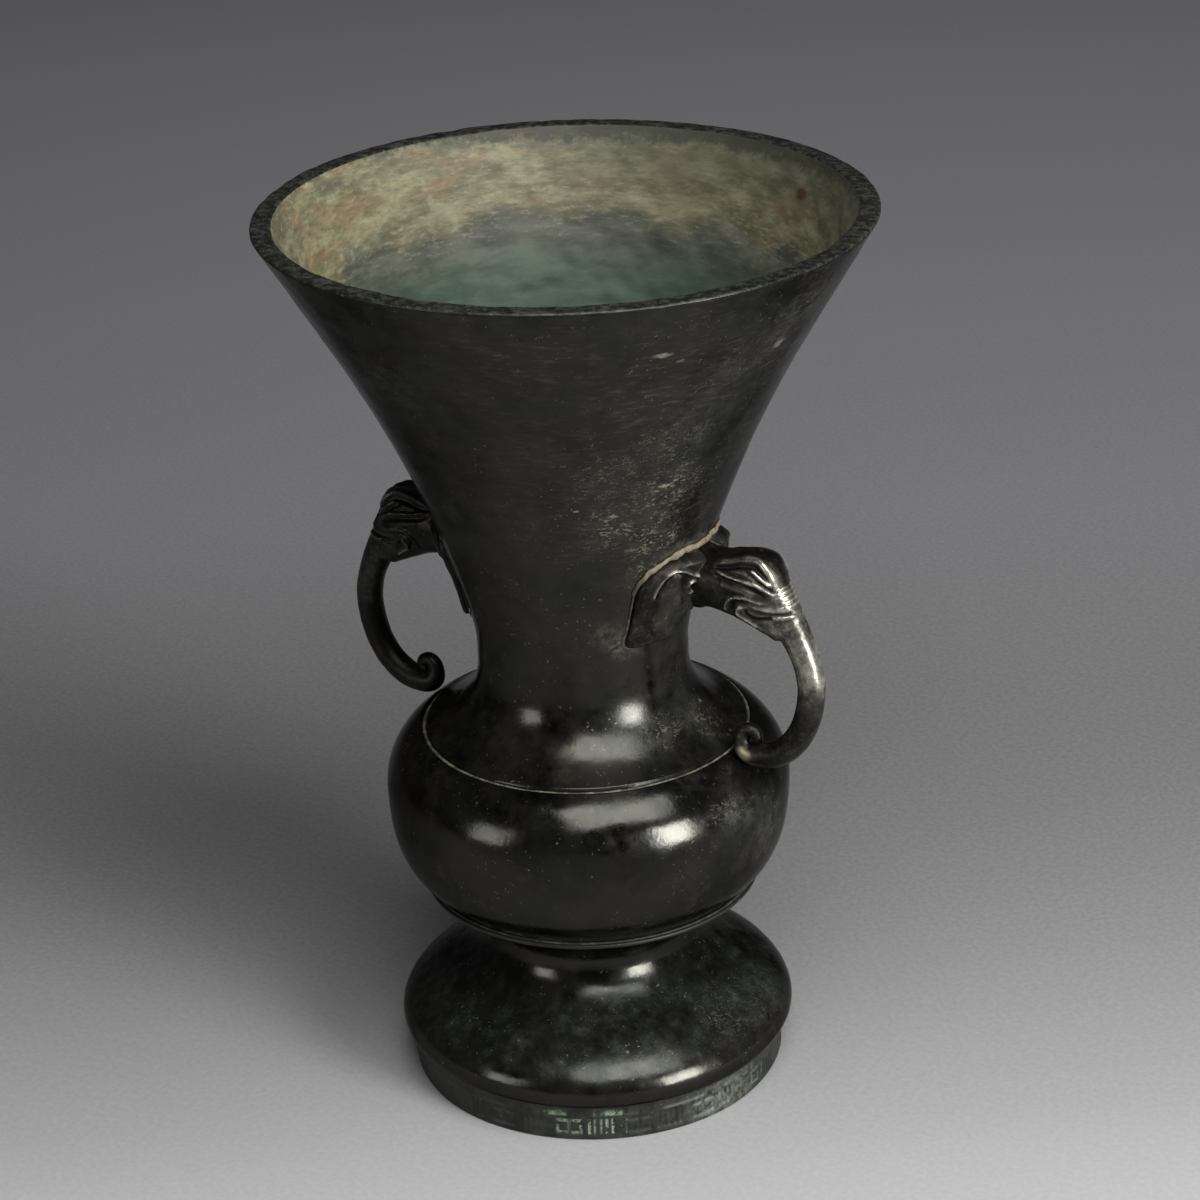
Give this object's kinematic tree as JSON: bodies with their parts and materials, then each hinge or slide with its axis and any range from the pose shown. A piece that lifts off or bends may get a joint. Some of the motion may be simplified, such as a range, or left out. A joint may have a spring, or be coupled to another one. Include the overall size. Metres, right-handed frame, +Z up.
{
  "type": "bronze vase",
  "caption": "Bronze vase with a trumpet mouth, narrow neck, round belly and spreading hollow foot, with an elephant-head handle on each side.",
  "frame": {"origin": "centre of the foot's underside, on the surface that the vase stands on", "axes": "+Z up along the vase's axis, +X towards the right handle, -X towards the left handle"},
  "size_m": [0.15, 0.15, 0.2312],
  "materials": {
    "bronze": "dark brown-black patina, satin, with green verdigris and tan deposits",
    "worn_bronze": "dark patina worn to a soft gloss on the high places",
    "solder": "dull pale tan, weathered"
  },
  "bodies": {
    "root": {"neck_section": "bronze", "belly_section": "bronze", "foot_section": "bronze", "floor_plate": "bronze", "right_handle": "worn_bronze", "left_handle": "worn_bronze", "right_rove": "bronze", "left_rove": "bronze", "shoulder_solder": "solder", "waist_solder": "solder", "floor_solder": "solder", "right_handle_solder": "solder", "left_handle_solder": "solder"}
  },
  "joints": []
}
